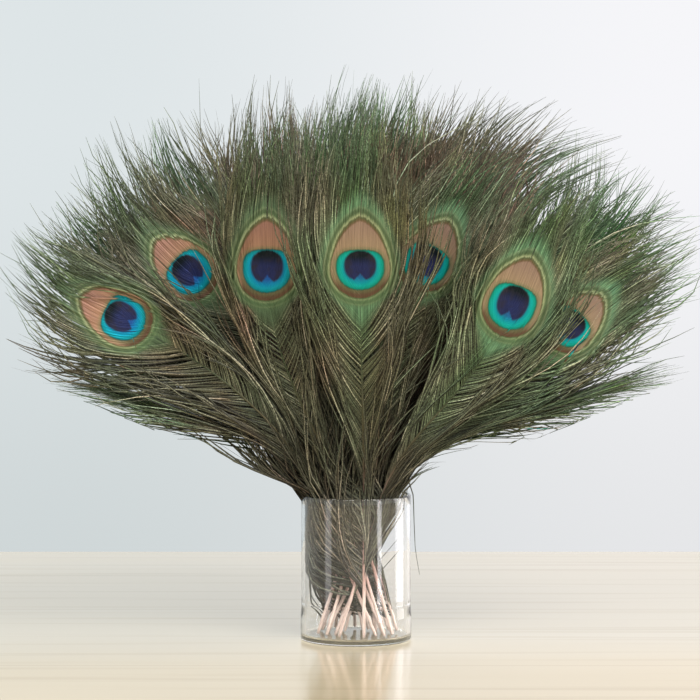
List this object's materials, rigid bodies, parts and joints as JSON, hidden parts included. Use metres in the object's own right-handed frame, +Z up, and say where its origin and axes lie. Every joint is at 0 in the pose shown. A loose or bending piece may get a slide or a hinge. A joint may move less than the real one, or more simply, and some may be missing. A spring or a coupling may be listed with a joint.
{
  "type": "peacock feathers in a glass vase",
  "caption": "Bunch of peacock tail feathers with eyes, fanned out of a clear cylindrical glass vase with a foot band.",
  "frame": {"origin": "middle of the vase's flat foot, on the surface it stands on", "axes": "+Z up along the vase, -Y towards the side that the front feathers face, +X to the right seen from that side"},
  "size_m": [0.3899, 0.2386, 0.3107],
  "materials": {
    "glass": "gloss",
    "feather": "matte"
  },
  "bodies": {
    "root": {"vase": "glass", "feather_01": "feather", "feather_02": "feather", "feather_03": "feather", "feather_04": "feather", "feather_05": "feather", "feather_06": "feather", "feather_07": "feather", "feather_08": "feather", "feather_09": "feather", "feather_10": "feather", "feather_11": "feather", "feather_12": "feather", "feather_13": "feather", "feather_14": "feather", "feather_15": "feather", "feather_16": "feather", "feather_17": "feather", "feather_18": "feather", "feather_19": "feather", "feather_20": "feather", "feather_21": "feather", "feather_22": "feather", "feather_23": "feather", "feather_24": "feather", "feather_25": "feather", "feather_26": "feather", "feather_27": "feather", "feather_28": "feather", "feather_29": "feather", "feather_30": "feather"}
  },
  "joints": []
}
